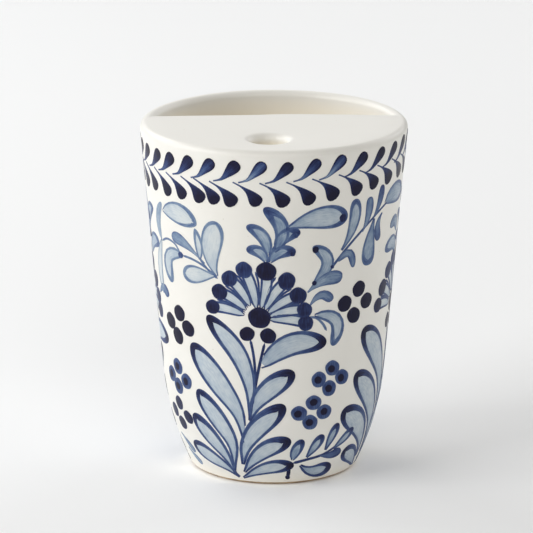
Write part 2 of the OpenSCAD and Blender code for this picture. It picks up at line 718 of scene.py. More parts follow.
@dataclass(frozen=True)
class Dab:
    """One press of the brush: a solid comma with a thin tail and a paler heart."""

    points: tuple[Point, ...]
    width: float
    form: Form = Form.COMMA
    tail_shade: float = 0.5
    head_shade: float = 0.66
    pale: float = 0.16


@dataclass(frozen=True)
class Dot:
    """One round dot, with a dark heart of its own if heart_r is over 0."""

    place: Point
    radius: float
    shade: float = 0.97
    heart_r: float = 0.0


@dataclass(frozen=True)
class Stem:
    """One thin line."""

    points: tuple[Point, ...]
    start: float = 0.8
    end: float = 0.6
    shade: float = 0.62


Stroke = Leaf | Dab | Dot | Stem


@dataclass
class Brush:
    """Lays strokes on the wall as thin closed pads that carry their pigment.

    Attributes:
        side: The vase's side.
        turn: Direction of the layout's middle, and rise how far it is moved up.
        shake: How far a stroke may stray from its place.
        seed: Start of the brush's chance.
        lift: How far a pad's edge stands over the wall, and sink how far it goes in.
        layer: What each layer of paint adds, and step what each stroke in turn adds.
        crown: How much higher a pad is along its middle.
        lowest: Height below which nothing is painted.
    """

    side: Silhouette
    turn: float = 0.0
    rise: float = 0.0
    shake: float = 0.0
    seed: int = 1
    lift: float = 0.045
    sink: float = 0.10
    layer: float = 0.03
    step: float = 0.0012
    crown: float = 0.018
    lowest: float = 1.4
    mesh: bmesh.types.BMesh = field(default_factory=bmesh.new)

    def __post_init__(self) -> None:
        """Adds the layers that hold each pad's pigment and its own directions."""
        self.pigment = self.mesh.verts.layers.float.new("pigment")
        self.grain = self.mesh.loops.layers.uv.new("stroke")
        self.chance = random.Random(self.seed)
        self.laid = 0
        self.nudge = Vector((0.0, 0.0))

    def place(self, spot: Vector, lift: float) -> Vector:
        """The point of the wall under a spot of the layout, raised by a distance.

        Args:
            spot: The spot of the layout.
            lift: Distance over the wall.

        Returns:
            The point, in millimetres.
        """
        z = max(spot.y + self.nudge.y + self.rise, self.lowest)
        turn = self.turn + (spot.x + self.nudge.x) / self.side.radius(z)
        out = self.side.radius(z) + lift
        return Vector((out * math.sin(turn), -out * math.cos(turn), z))

    def pad(
        self, shape: Callable[[float, float], Vector], tone: Tone, cols: int, rows: int,
        level: int, size: Point,
    ) -> None:
        """Lays one pad.

        Args:
            shape: The layout spot for a place across (-1 to 1) and along (0 to 1).
            tone: The pigment there.
            cols: Number of faces across.
            rows: Number of faces along.
            level: Which layer of paint it is in, from 0.
            size: Rough width and length, for the grain.
        """
        made = bmesh.ops.create_grid(self.mesh, x_segments=cols, y_segments=rows, size=1.0)
        base = made["verts"]
        faces = list({face for vert in base for face in vert.link_faces})
        raised = bmesh.ops.extrude_face_region(self.mesh, geom=faces)["geom"]
        tops = [item for item in raised if isinstance(item, bmesh.types.BMVert)]
        height = self.lift + self.layer * level + self.step * (self.laid % 16)
        self.laid += 1
        for verts, top in ((base, False), (tops, True)):
            for vert in verts:
                across, along = vert.co.x, (vert.co.y + 1.0) / 2.0
                crown = self.crown * (1.0 - across * across)
                vert[self.pigment] = tone(across, along)
                for loop in vert.link_loops:
                    loop[self.grain].uv = (across * size[0], along * size[1])
                vert.co = self.place(shape(across, along), height + crown if top else -self.sink)

    def leaf(self, leaf: Leaf) -> None:
        """Lays a leaf's wash and then its outline.

        Args:
            leaf: The leaf.
        """
        path = Path(leaf.points)
        half = leaf.width / 2.0
        stub = leaf.line * 0.42

        def edge(share: float) -> float:
            """Half width of the whole leaf."""
            return half * leaf.form.swell(share) + stub * (1.0 - share)

        def inside(across: float, along: float) -> Vector:
            """A spot of the wash.

            Args:
                across: Place across the pad, from -1 to 1.
                along: Place along the pad, from 0 to 1.

            Returns:
                The spot of the layout.
            """
            share = mix(0.05, 0.985, slowing(along, 1.5))
            spot, left = path.at(share)
            return spot + left * across * max(edge(share) - 0.3 * leaf.line, 0.05)

        def wash_tone(across: float, along: float) -> float:
            """Pigment of the wash: it gathers along the lines and towards the root.

            Args:
                across: Place across the pad, from -1 to 1.
                along: Place along the pad, from 0 to 1.

            Returns:
                The load of pigment.
            """
            gather = 0.15 * across ** 4 + 0.05 * (across + 1.0) * leaf.form.swell(along)
            if leaf.form is Form.PETAL:
                gather += 0.30 * ease((along - 0.55) / 0.45)
            return leaf.wash + gather + 0.14 * (1.0 - ease(along * 2.2))

        def outline(across: float, along: float) -> Vector:
            """A spot of the line that runs up one side, round the tip and down.

            Args:
                across: Place across the pad, from -1 to 1.
                along: Place along the pad, from 0 to 1.

            Returns:
                The spot of the layout.
            """
            way = 1.0 - abs(2.0 * along - 1.0)
            hand = 1.0 if along < 0.5 else -1.0
            late = leaf.late_left if along < 0.5 else leaf.late_right
            share = mix(late, 1.0, slowing(way, 1.9))
            weight = 1.0 + leaf.heavy * hand * share
            line = mix(leaf.line * 0.75, leaf.line, share) * weight * min(1.0, 0.55 + 12.0 * way)
            end = 1.0 - leaf.tip_line / path.length
            outer, outer_left = path.at(share)
            inner, inner_left = path.at(share * end)
            outer = outer + outer_left * hand * edge(share)
            inner = inner + inner_left * hand * max(edge(share) - line, 0.0)
            return outer.lerp(inner, (across + 1.0) / 2.0)

        def line_tone(across: float, along: float) -> float:
            """Pigment of the line: stronger towards the tip, and where it starts.

            Args:
                across: Place across the pad, from -1 to 1.
                along: Place along the pad, from 0 to 1.

            Returns:
                The load of pigment.
            """
            way = 1.0 - abs(2.0 * along - 1.0)
            start = 0.12 * (1.0 - ease(way * 14.0))
            fill = mix(leaf.shade, leaf.tip_shade, ease(way * 1.7 - 0.7))
            return fill + start - 0.09 * across * across

        rows = 6 + int(path.length / 3.0)
        size = (half, path.length)
        self.pad(inside, wash_tone, 6, rows, 0, size)
        self.pad(outline, line_tone, 2, 2 * rows + 8, 1, (leaf.line, 2.0 * path.length))

    def dab(self, dab: Dab) -> None:
        """Lays a solid comma.

        Args:
            dab: The comma.
        """
        path = Path(dab.points)
        half = dab.width / 2.0

        def spot(across: float, along: float) -> Vector:
            """A spot of the comma.

            Args:
                across: Place across the pad, from -1 to 1.
                along: Place along the pad, from 0 to 1.

            Returns:
                The spot of the layout.
            """
            share = slowing(along, 1.5)
            middle, left = path.at(share)
            return middle + left * across * (half * dab.form.swell(share) + 0.24 * (1.0 - share))

        def tone(across: float, along: float) -> float:
            """Pigment: thin in the tail, full in the head and pale at its heart.

            Args:
                across: Place across the pad, from -1 to 1.
                along: Place along the pad, from 0 to 1.

            Returns:
                The load of pigment.
            """
            heart = dab.pale * (1.0 - across * across) * ease(2.2 - abs(along - 0.5) * 4.0)
            rim = 0.08 * across ** 4 if dab.pale < 0.1 else 0.0
            return mix(dab.tail_shade, dab.head_shade, ease(along * 1.3)) - heart - rim

        rows = 7 + int(path.length / 2.2)
        self.pad(spot, tone, 4, rows, 1, (half, path.length))

    def dot(self, dot: Dot) -> None:
        """Lays a round dot, and its heart where it has one.

        Args:
            dot: The dot.
        """
        self.disc(dot.place, dot.radius, dot.shade, 2)
        if dot.heart_r > 0.0:
            lean = self.chance.uniform(-0.25, 0.25)
            x, z = dot.place
            self.disc((x - 0.2 + lean, z + lean), dot.heart_r, 1.0, 3)

    def disc(self, middle: Point, radius: float, shade: float, level: int) -> None:
        """Lays a disc that is a little uneven, as a pressed brush leaves it.

        Args:
            middle: Its place in the layout.
            radius: Its radius.
            shade: Its load of pigment.
            level: Which layer of paint it is in.
        """
        phase = self.chance.uniform(0.0, FULL_TURN)
        uneven = 0.035

        def spot(across: float, along: float) -> Vector:
            """A spot of the disc, from a spot of the square.

            Args:
                across: Place across the pad, from -1 to 1.
                along: Place along the pad, from 0 to 1.

            Returns:
                The spot of the layout.
            """
            down = 2.0 * along - 1.0
            x = across * math.sqrt(1.0 - down * down / 2.0)
            y = down * math.sqrt(1.0 - across * across / 2.0)
            turn = math.atan2(y, x)
            far = radius * (1.0 + uneven * math.sin(2.0 * turn + phase) + 0.02 * math.sin(5.0 * turn))
            return Vector(middle) + Vector((x, y)) * far

        def tone(across: float, along: float) -> float:
            """Pigment: full in the middle and a little thinner at the rim."""
            rim = max(abs(across), abs(2.0 * along - 1.0))
            return shade - 0.10 * rim ** 4

        self.pad(spot, tone, 6, 6, level, (radius, radius))

    def stem(self, stem: Stem) -> None:
        """Lays a thin line with rounded ends.

        Args:
            stem: The line.
        """
        path = Path(stem.points)

        def spot(across: float, along: float) -> Vector:
            """A spot of the line.

            Args:
                across: Place across the pad, from -1 to 1.
                along: Place along the pad, from 0 to 1.

            Returns:
                The spot of the layout.
            """
            middle, left = path.at(along)
            end = min(1.0, math.sqrt(max(min(along, 1.0 - along), 0.0) * path.length * 2.0) + 0.15)
            return middle + left * across * mix(stem.start, stem.end, along) * 0.5 * end

        rows = 6 + int(path.length / 1.6)
        self.pad(spot, lambda u, v: stem.shade - 0.06 * u * u, 2, rows, 0, (0.5, path.length))

    def lay(self, strokes: Sequence[Stroke]) -> None:
        """Lays strokes in order, each shaken a little from its place.

        Args:
            strokes: The strokes.
        """
        for stroke in strokes:
            self.nudge = Vector((
                self.chance.uniform(-self.shake, self.shake),
                self.chance.uniform(-self.shake, self.shake),
            ))
            match stroke:
                case Leaf():
                    self.leaf(stroke)
                case Dab():
                    self.dab(stroke)
                case Dot():
                    self.dot(stroke)
                case Stem():
                    self.stem(stroke)


@dataclass
class Border:
    """The garland under the rim: two rows of drops that lean the same way.

    Attributes:
        side: The vase's side.
        turn: Direction of the front.
        pairs: Number of drops in each row.
        middle_z: Height of the line between the rows, and wander how far it strays.
        crowding: How unevenly the drops are spaced round the vase.
        lag: How far the lower row runs ahead of the upper one or falls behind it.
        lower_rise: How far the lower row climbs on the right of the front.
        lively: How far from the front the upper drops vary in tone.
    """

    side: Silhouette
    turn: float
    pairs: int = 33
    middle_z: float = 104.4
    wander: float = 1.0
    crowding: float = 0.035
    lag: float = 0.071
    lower_rise: float = 1.4
    lively: float = 0.9

    def start(self, number: int, upper: bool) -> float:
        """The direction of one drop's head, as an uneven hand spaces them.

        The lower row runs ahead of the upper one on the left of the front, falls
        behind it on the right, and catches up again round the back.

        Args:
            number: Which drop it is, from 0.
            upper: Whether it is in the upper row.

        Returns:
            The direction, in radians from the front.
        """
        fall_from, fall_over = -0.75, 0.65
        catch_from, catch_over = 1.6, 1.4
        turn = FULL_TURN * ((number + 0.5) / self.pairs - 0.5)
        turn += self.crowding * math.sin(2.0 * turn - 0.7)
        if upper:
            return turn
        behind = ease((turn - fall_from) / fall_over) - ease((turn - catch_from) / catch_over)
        return turn + self.lag * (1.0 - 2.0 * behind)

    def drop(self, upper: bool, long: float) -> tuple[Point, ...]:
        """The spine of one drop, from its tail to its head.

        Args:
            upper: Whether its head points up.
            long: How long its head is, where 1 is usual.

        Returns:
            The points of the spine.
        """
        z = self.middle_z
        if upper:
            bend = ((-8.6, z + 0.1), (-5.8, z + 1.0), (-3.4, z + 3.3))
            return (*bend, (-3.4 + 3.4 * long, z + 3.3 + 3.7 * long))
        bend = ((-7.6, z + 0.1), (-4.7, z - 1.3), (-2.0, z - 3.4))
        return (*bend, (-2.0 + 2.9 * long, z - 3.4 - 3.8 * long))

    def row(self, upper: bool, seed: int) -> Brush:
        """Lays one row.

        Args:
            upper: Whether it is the row whose heads point up.
            seed: Start of its chance.

        Returns:
            The brush that holds the row.
        """
        brush = Brush(self.side, seed=seed, shake=0.25)
        chance = random.Random(seed + 7)
        form, full_width = (Form.DROP, 3.9) if upper else (Form.TADPOLE, 4.8)
        for i in range(self.pairs):
            head = self.start(i, upper)
            brush.turn = self.turn + head + chance.uniform(-0.006, 0.006)
            brush.rise = self.wander * math.sin(brush.turn)
            if not upper:
                brush.rise += self.lower_rise * ease(head) * ease(2.6 - head)
            long = chance.uniform(0.92, 1.08)
            width = full_width * chance.uniform(0.92, 1.06)
            pale = 0.0
            if upper and abs(head) < self.lively:
                pale = chance.choice((0.10, 0.24, 0.38))
            points = self.drop(upper, long)
            brush.lay([Dab(points, width, form, 0.64, 1.0, pale)])
        return brush

    def build(self, shop: Workshop, paint: bpy.types.Material) -> list[bpy.types.Object]:
        """Paints both rows.

        Args:
            shop: The workshop that makes the pieces.
            paint: The cobalt paint.

        Returns:
            The two pieces.
        """
        rows = (("upper", True, 11), ("lower", False, 23))
        return [
            shop.fire(self.row(upper, seed).mesh, f"border_{name}_drops", paint, Slot.PAINT)
            for name, upper, seed in rows
        ]


@dataclass
class Bouquet:
    """One flower on its fan of leaves, with the sprays round it.

    Attributes:
        name: Start of its pieces' names.
        side: The vase's side.
        turn: Direction of its middle, and rise how far it is moved up.
        shake: How far a stroke may stray from its place.
        seed: Start of its chance.
        full: Whether it has the large sprays, as in front, or is a narrow one.
        flower_drop: How far the flower and its sprays are lowered onto the fan.
        heart: Place of the flower's heart, and heart_r its radius.
    """

    name: str
    side: Silhouette
    turn: float
    rise: float = 0.0
    shake: float = 0.0
    seed: int = 1
    full: bool = True
    flower_drop: float = 0.0
    heart: Point = (-4.7, 59.5)
    heart_r: float = 3.6

    def ring_dots(self) -> list[Dot]:
        """The dots at the petals' tips, from the left over the top to the right.

        Returns:
            The nine dots.
        """
        return [
            Dot((-20.5, 61.8), 2.5, 0.90), Dot((-18.0, 67.2), 2.75, 0.88),
            Dot((-14.5, 72.1), 2.75, 0.80), Dot((-9.7, 75.4), 2.75, 0.77),
            Dot((-2.5, 75.2), 3.2, 0.95), Dot((4.0, 71.9), 2.9, 0.83),
            Dot((7.7, 66.9), 2.8, 0.85), Dot((9.8, 61.9), 2.55, 0.80), Dot((10.2, 57.4), 2.6, 0.82),
        ]

    def flower_dots(self) -> list[Stroke]:
        """The ring of dots, the two dots below and the heart."""
        below = [Dot((-8.7, 53.8), 2.45), Dot((-1.9, 53.4), 2.6)]
        return self.ring_dots() + below + [Dot(self.heart, self.heart_r)]

    def ray(self, goal: Vector, gap: float, hand: float, share: float = 1.0) -> tuple[Point, ...]:
        """A bowed line from beside the heart towards a spot.

        Args:
            goal: The spot.
            gap: Distance between the heart's edge and the start.
            hand: 1 to bow to the left and -1 to bow to the right.
            share: How much of the way it goes.

        Returns:
            The start, the middle and the end.
        """
        heart = Vector(self.heart)
        way = (goal - heart).normalized()
        root = heart + way * (self.heart_r + gap)
        arch = 0.75
        bow = root.lerp(goal, 0.55) + Vector((-way.y, way.x)) * arch * hand
        return tuple(root), tuple(bow), tuple(heart.lerp(goal, share))

    def petals(self) -> list[Stroke]:
        """Narrow petals from the heart to each dot of the ring, and lines between them.

        They arch like a fountain: each bows towards the top of the flower. Those on
        the left stand off from the heart and the others tuck under it.

        Returns:
            The strokes.
        """
        stand_off, tuck = 1.3, -0.5
        dots = [Vector(dot.place) for dot in self.ring_dots()]
        petals: list[Stroke] = []
        for number, dot in enumerate(dots):
            ray = self.ray(dot, stand_off if number < 3 else tuck, -1.0 if number < 5 else 1.0)
            petals.append(Leaf(
                ray, 3.8, Form.PETAL, line=0.8, tip_line=0.6, wash=0.02, shade=0.68, tip_shade=0.76,
            ))
        for number, (near, far) in enumerate(zip(dots, dots[1:])):
            ray = self.ray(near.lerp(far, 0.5), 1.2, -1.0 if number < 4 else 1.0, 0.98)
            petals.append(Stem(ray, 0.5, 0.8, 0.7))
        return petals

    def fan(self) -> list[Stroke]:
        """The leaves that spread from the foot, and the two stems.

        Returns:
            The strokes.
        """
        left = [
            Leaf(((-7.7, 24.3), (-8.0, 36.5), (-12.5, 47.8), (-22.7, 58.5)), 6.6, Form.PADDLE,
                 line=1.2, tip_line=2.6, tip_shade=1.0, heavy=0.12),
            Leaf(((-9.6, 15.8), (-11.7, 26.2), (-18.2, 35.3), (-29.5, 47.6)), 8.4, Form.PADDLE,
                 line=1.15, tip_line=2.2, tip_shade=0.92, late_right=0.16),
            Leaf(((-13.0, 4.7), (-13.7, 14.6), (-18.7, 22.7), (-27.3, 32.0)), 6.7, Form.PADDLE,
                 line=1.2, tip_line=1.8, tip_shade=0.88, heavy=-0.3),
            Leaf(((-12.8, 3.6), (-16.0, 9.7), (-21.3, 15.6), (-29.5, 22.8)), 5.9, Form.PADDLE,
                 line=1.25, tip_line=2.1, tip_shade=0.9, heavy=-0.4),
            Leaf(((-11.3, 2.2), (-15.8, 5.4), (-22.0, 8.2), (-30.5, 11.8)), 5.3, Form.PADDLE,
                 line=1.05, tip_line=1.6, tip_shade=0.84, heavy=-0.35),
        ]
        right = [
            Leaf(((-4.2, 42.6), (0.8, 47.8), (7.4, 50.8), (17.4, 50.2)), 7.6, Form.FULL,
                 line=1.2, tip_line=2.4, tip_shade=1.0, late_left=0.16),
            Leaf(((-7.8, 24.0), (-5.6, 30.2), (-0.8, 35.8), (6.5, 41.0)), 7.0, Form.TEAR,
                 line=1.35, tip_line=2.4, tip_shade=1.0, heavy=0.25),
            Leaf(((-10.1, 7.4), (-9.1, 14.6), (-4.9, 21.8), (3.5, 29.6)), 6.9, Form.TEAR,
                 line=1.45, tip_line=2.7, tip_shade=0.98, heavy=0.3),
            Leaf(((-9.6, 4.4), (-6.4, 9.8), (-1.7, 14.1), (5.5, 17.0)), 6.1, Form.TEAR,
                 line=1.3, tip_line=2.6, tip_shade=0.98, heavy=0.3),
            Leaf(((-10.0, 2.1), (-5.6, 5.1), (-0.4, 7.0), (6.5, 7.5)), 4.9, Form.TEAR,
                 line=1.1, tip_line=2.3, tip_shade=1.0, heavy=0.25),
        ]
        if not self.full:
            right[0] = Leaf(((-4.2, 40.6), (0.6, 44.8), (6.6, 46.8), (15.8, 46.0)), 7.0, Form.FULL,
                            line=1.2, tip_line=2.2, tip_shade=0.9)
            left = [
                Leaf(((-8.6, 20.0), (-11.5, 34.0), (-18.0, 44.0), (-27.6, 53.2)), 9.0, Form.PADDLE,
                     line=1.35, tip_line=2.2, tip_shade=0.98, heavy=0.1, late_right=0.2),
                Leaf(((-10.2, 9.5), (-13.0, 20.0), (-19.5, 30.0), (-28.8, 38.6)), 8.4, Form.PADDLE,
                     line=1.35, tip_line=2.2, tip_shade=0.96, heavy=-0.15),
                Leaf(((-12.6, 6.5), (-15.5, 13.0), (-22.0, 20.4), (-32.0, 27.0)), 7.8, Form.PADDLE,
                     line=1.4, tip_line=2.2, tip_shade=0.96, heavy=-0.3),
                Leaf(((-11.6, 2.4), (-14.6, 5.4), (-18.4, 8.4), (-24.4, 11.4)), 5.4, Form.PADDLE,
                     line=1.25, tip_line=1.8, tip_shade=0.9, heavy=-0.3),
            ]
        stems = [
            Stem(((-7.7, 52.0), (-6.3, 44.0), (-6.2, 35.4)), 0.9, 0.9, 0.74),
            Stem(((-3.0, 51.0), (-4.8, 42.7), (-6.2, 35.0), (-7.8, 23.6)), 0.9, 1.2, 0.8),
            Stem(((4.6, 7.0), (4.7, 4.8), (4.4, 3.0)), 1.4, 1.2, 0.92),
            Dot((4.4, 2.8), 0.8, 0.92),
        ]
        return left + right + stems

    def sprout(self) -> list[Stroke]:
        """The small leaves that rise from the top of the flower.

        Returns:
            The strokes.
        """
        light = {"line": 1.1, "tip_line": 1.8, "wash": 0.2, "shade": 0.54, "tip_shade": 0.68}
        dusk = {"line": 1.1, "tip_line": 2.3, "wash": 0.26, "shade": 0.58, "tip_shade": 0.8}
        return [
            Leaf(((-1.9, 80.6), (-3.6, 86.8), (-8.9, 90.0)), 3.9, Form.FULL, **light),
            Leaf(((-2.6, 78.2), (-4.6, 81.6), (-8.9, 82.2)), 3.5, Form.FULL, **light),
            Leaf(((0.1, 81.8), (2.4, 89.6), (-3.4, 96.2)), 4.6, Form.FULL, line=1.3,
                 tip_line=3.4, wash=0.26, shade=0.56, tip_shade=0.76),
            Leaf(((0.8, 82.4), (3.4, 86.9), (8.4, 87.9)), 4.2, Form.FULL, **dusk),
            Leaf(((-1.2, 78.2), (1.8, 81.6), (6.9, 81.4)), 3.8, Form.FULL, **dusk),
            Stem(((-2.4, 77.6), (-1.2, 80.5), (0.2, 84.0)), 0.9, 0.7, 0.6),
            Dot((7.0, 87.0), 0.75, 0.74),
            Dot((5.9, 81.0), 0.85, 0.84),
        ]

    def left_spray(self) -> list[Stroke]:
        """The large scroll on the left, in a lighter blue.

        Returns:
            The strokes.
        """
        pale = {"line": 0.85, "tip_line": 1.1, "wash": -0.02, "shade": 0.44, "tip_shade": 0.47}
        return [
            Stem(((-19.0, 72.0), (-25.5, 75.8), (-32.5, 77.0)), 0.7, 0.8, 0.48),
            Stem(((-18.6, 71.6), (-22.0, 74.0), (-25.4, 77.4)), 0.9, 0.6, 0.5),
            Leaf(((-18.7, 72.4), (-21.0, 80.5), (-18.8, 90.6)), 7.8, heavy=-0.25, **pale),
            Leaf(((-19.4, 72.4), (-25.4, 71.8), (-32.6, 71.2)), 6.0, **pale),
            Leaf(((-25.2, 77.0), (-25.7, 82.0), (-27.2, 87.2)), 2.8, Form.LENS, **pale),
            Dab(((-23.4, 76.0), (-31.4, 81.2), (-38.0, 82.6)), 4.0, Form.DROP, 0.44, 0.5, 0.16),
            Leaf(((-32.4, 77.0), (-40.2, 74.8), (-38.2, 66.6)), 4.9, Form.FULL, line=1.1,
                 tip_line=1.4, wash=0.06, shade=0.45, tip_shade=0.5),
            Dot((-33.6, 77.0), 1.1, 0.66),
            Stem(((-33.8, 77.6), (-36.4, 80.2), (-40.6, 81.0), (-44.0, 79.6)), 0.6, 0.8, 0.46),
            Leaf(((-44.4, 80.0), (-46.6, 70.5), (-44.6, 61.2)), 3.4, Form.LENS, line=0.6,
                 tip_line=0.9, wash=-0.08, shade=0.36, tip_shade=0.4),
            Leaf(((-42.8, 90.2), (-34.6, 91.0), (-26.4, 88.4)), 7.0, Form.LENS, line=1.0,
                 tip_line=1.6, wash=-0.04, shade=0.46, tip_shade=0.5, heavy=0.25),
            Dab(((-44.4, 80.0), (-46.4, 86.6), (-43.6, 92.6)), 3.2, Form.FULL, 0.36, 0.4, 0.08),
        ]

    def right_spray(self) -> list[Stroke]:
        """The scroll on the right: curled leaves, and a sprig that climbs to the border.

        Returns:
            The strokes.
        """
        mid = {"line": 0.95, "tip_line": 1.6, "wash": 0.2, "shade": 0.53, "tip_shade": 0.62}
        return [
            Leaf(((4.0, 89.4), (14.0, 92.3), (24.8, 91.4)), 7.6, line=1.05, tip_line=1.8,
                 wash=0.12, shade=0.56, tip_shade=0.7),
            Dot((23.0, 91.4), 1.35, 0.86),
            Dot((4.3, 89.4), 0.7, 0.66),
            Dab(((10.8, 67.7), (16.6, 71.4), (23.0, 71.4)), 4.6, Form.COMMA, 0.5, 0.6, 0.2),
            Leaf(((12.8, 70.6), (17.6, 77.4), (12.4, 82.8)), 4.3, Form.FULL, **mid),
            Dot((13.4, 81.9), 1.1, 0.95),
            Dot((13.0, 70.7), 0.8, 0.86),
            Dab(((21.4, 77.0), (25.6, 79.2), (27.2, 74.0)), 2.7, Form.FULL, 0.56, 0.64, 0.2),
            Dot((19.2, 75.5), 0.65, 0.78),
            Stem(((18.9, 75.2), (24.6, 81.0), (31.0, 86.0), (38.0, 90.2), (44.0, 92.8)), 0.9, 0.7),
            Leaf(((22.6, 80.6), (27.2, 88.6), (27.8, 97.0)), 4.6, Form.COMMA, **mid),
            Dab(((31.0, 85.4), (33.8, 91.0), (34.2, 96.6)), 3.4, Form.COMMA, 0.55, 0.62, 0.2),
            Dab(((36.0, 89.0), (39.2, 93.6), (40.8, 99.4)), 3.0, Form.COMMA, 0.55, 0.7, 0.08),
            Leaf(((42.6, 92.6), (50.0, 94.6), (59.5, 93.0)), 7.0, Form.LENS, **mid),
            Leaf(((36.6, 88.8), (34.6, 81.4), (33.9, 73.4)), 6.0, Form.COMMA, line=1.1,
                 tip_line=1.8, wash=0.26, shade=0.54, tip_shade=0.6),
            Dab(((41.0, 89.8), (38.6, 86.0), (39.3, 80.8)), 3.3, Form.COMMA, 0.55, 0.64, 0.12),
            Dab(((11.6, 63.2), (15.4, 66.4), (19.2, 64.0)), 3.3, Form.COMMA, 0.5, 0.64, 0.16),
            Leaf(((13.2, 59.8), (21.0, 56.8), (19.4, 48.6)), 4.6, Form.FULL, line=1.15,
                 tip_line=1.6, wash=0.1, shade=0.56, tip_shade=0.58),
            Stem(((11.0, 59.2), (13.6, 58.9), (16.0, 56.6), (17.4, 54.0)), 0.8, 0.9, 0.5),
        ]

    def small_sprays(self) -> list[Stroke]:
        """What a narrow flower has instead: two curled leaves on each side.

        Returns:
            The strokes.
        """
        mid = {"line": 1.0, "tip_line": 1.5, "wash": 0.16, "shade": 0.5, "tip_shade": 0.58}
        return [
            Leaf(((-8.6, 76.6), (-12.0, 81.2), (-19.4, 80.2)), 5.0, Form.FULL, **mid),
            Dab(((-9.6, 84.4), (-12.6, 88.6), (-17.0, 87.2)), 3.9, Form.FULL, 0.46, 0.56, 0.16),
            Leaf(((6.5, 75.6), (10.5, 80.6), (16.5, 80.4)), 4.8, Form.FULL, **mid),
            Leaf(((5.0, 83.0), (8.0, 89.6), (14.0, 92.0)), 4.8, Form.LENS, **mid),
            Dab(((12.4, 63.4), (16.2, 66.0), (19.0, 63.4)), 3.2, Form.COMMA, 0.5, 0.62, 0.14),
        ]

    def fillers(self) -> list[Stroke]:
        """The dots and berries in the gap on the right.

        Returns:
            The strokes.
        """
        if self.full:
            seeds, bunches = (28.9, 61.9), ((19.1, 37.4), (12.4, 26.3))
        else:
            seeds, bunches = (24.1, 53.1), ((20.0, 34.5), (16.9, 21.4))
        strokes: list[Stroke] = [
            Dot((seeds[0] + dx, seeds[1] + dz), 2.75, 1.0)
            for dx, dz in ((-4.8, 0.3), (1.1, 4.3), (4.8, -0.5), (-1.0, -4.3))
        ]
        for x, z in bunches:
            dark = not self.full and z < 30.0
            shade, core, radius = (0.88, 0.0, 2.3) if dark else (0.66, 1.3, 2.65)
            strokes += [
                Dot((x + dx, z + dz), radius, shade, core)
                for dx, dz in ((-4.3, 0.2), (0.6, 3.5), (4.3, -0.2), (-0.6, -3.3))
            ]
        return strokes

    def foot_sprig(self) -> list[Stroke]:
        """The low sprig to the right of the fan.

        Returns:
            The strokes.
        """
        dark = {"line": 1.0, "tip_line": 1.7, "wash": 0.22, "shade": 0.64, "tip_shade": 0.84}
        if not self.full:
            return [
                Dab(((10.8, 13.2), (13.6, 11.4), (17.4, 8.4)), 2.6, Form.COMMA, 0.4, 0.5, 0.1),
                Dab(((12.8, 8.6), (14.8, 6.8), (18.0, 4.2)), 2.4, Form.COMMA, 0.36, 0.46, 0.1),
            ]
        return [
            Stem(((6.0, 8.2), (11.0, 9.2), (16.5, 10.2), (22.0, 12.6)), 1.1, 0.8, 0.74),
            Leaf(((6.0, 9.4), (7.3, 13.2), (9.6, 16.8)), 3.5, Form.FULL, **dark),
            Leaf(((10.7, 10.0), (13.4, 13.6), (16.6, 17.8)), 3.4, **dark),
            Leaf(((17.4, 11.8), (19.6, 16.2), (22.4, 21.0)), 3.2, **dark),
            Dab(((15.0, 10.2), (19.6, 9.4), (23.8, 10.8)), 3.2, Form.COMMA, 0.66, 0.78, 0.14),
            Leaf(((8.6, 7.2), (13.4, 4.2), (19.8, 5.8)), 5.0, line=1.25, tip_line=1.9,
                 wash=0.16, shade=0.7, tip_shade=0.92, heavy=-0.2),
            Leaf(((20.6, 11.6), (25.0, 14.6), (29.4, 17.6)), 3.0, **dark),
        ]

    def build(self, shop: Workshop, paint: bpy.types.Material) -> list[bpy.types.Object]:
        """Paints the bouquet, one piece for each kind of motif.

        Args:
            shop: The workshop that makes the pieces.
            paint: The cobalt paint.

        Returns:
            The pieces.
        """
        sprays = self.left_spray() + self.right_spray() if self.full else self.small_sprays()
        parts = {
            "petals": self.petals(), "flower_dots": self.flower_dots(), "sprout": self.sprout(),
            "sprays": sprays, "leaf_fan": self.fan(), "dots_and_berries": self.fillers(),
            "foot_sprig": self.foot_sprig(),
        }
        lowered = ("petals", "flower_dots", "sprout", "sprays")
        made = []
        for number, (part, strokes) in enumerate(parts.items()):
            rise = self.rise - (self.flower_drop if part in lowered else 0.0)
            brush = Brush(self.side, self.turn, rise, self.shake, self.seed + number)
            brush.lay(strokes)
            made.append(shop.fire(brush.mesh, f"{self.name}_{part}", paint, Slot.PAINT))
        return made


# ------------------------------------------------------------ the finishes


class Bench:
    """A node tree under construction, with short ways to add and join nodes."""

    def __init__(self, tree: bpy.types.NodeTree) -> None:
        """Takes the tree that the nodes are added to."""
        self.tree = tree

    def node(
        self, kind: str, values: dict[str | int, object] | None = None, **settings: object,
    ) -> bpy.types.Node:
        """Adds a node.

        Args:
            kind: Its type, without the leading ShaderNode.
            values: Values of its input sockets, by name or number.
            settings: Its own settings, such as its operation.

        Returns:
            The new node.
        """
        made = self.tree.nodes.new("ShaderNode" + kind)
        for name, setting in settings.items():
            setattr(made, name, setting)
        for socket, value in (values or {}).items():
            made.inputs[socket].default_value = value
        return made

    def link(self, source: bpy.types.NodeSocket, target: bpy.types.NodeSocket) -> None:
        """Joins two sockets."""
        self.tree.links.new(source, target)


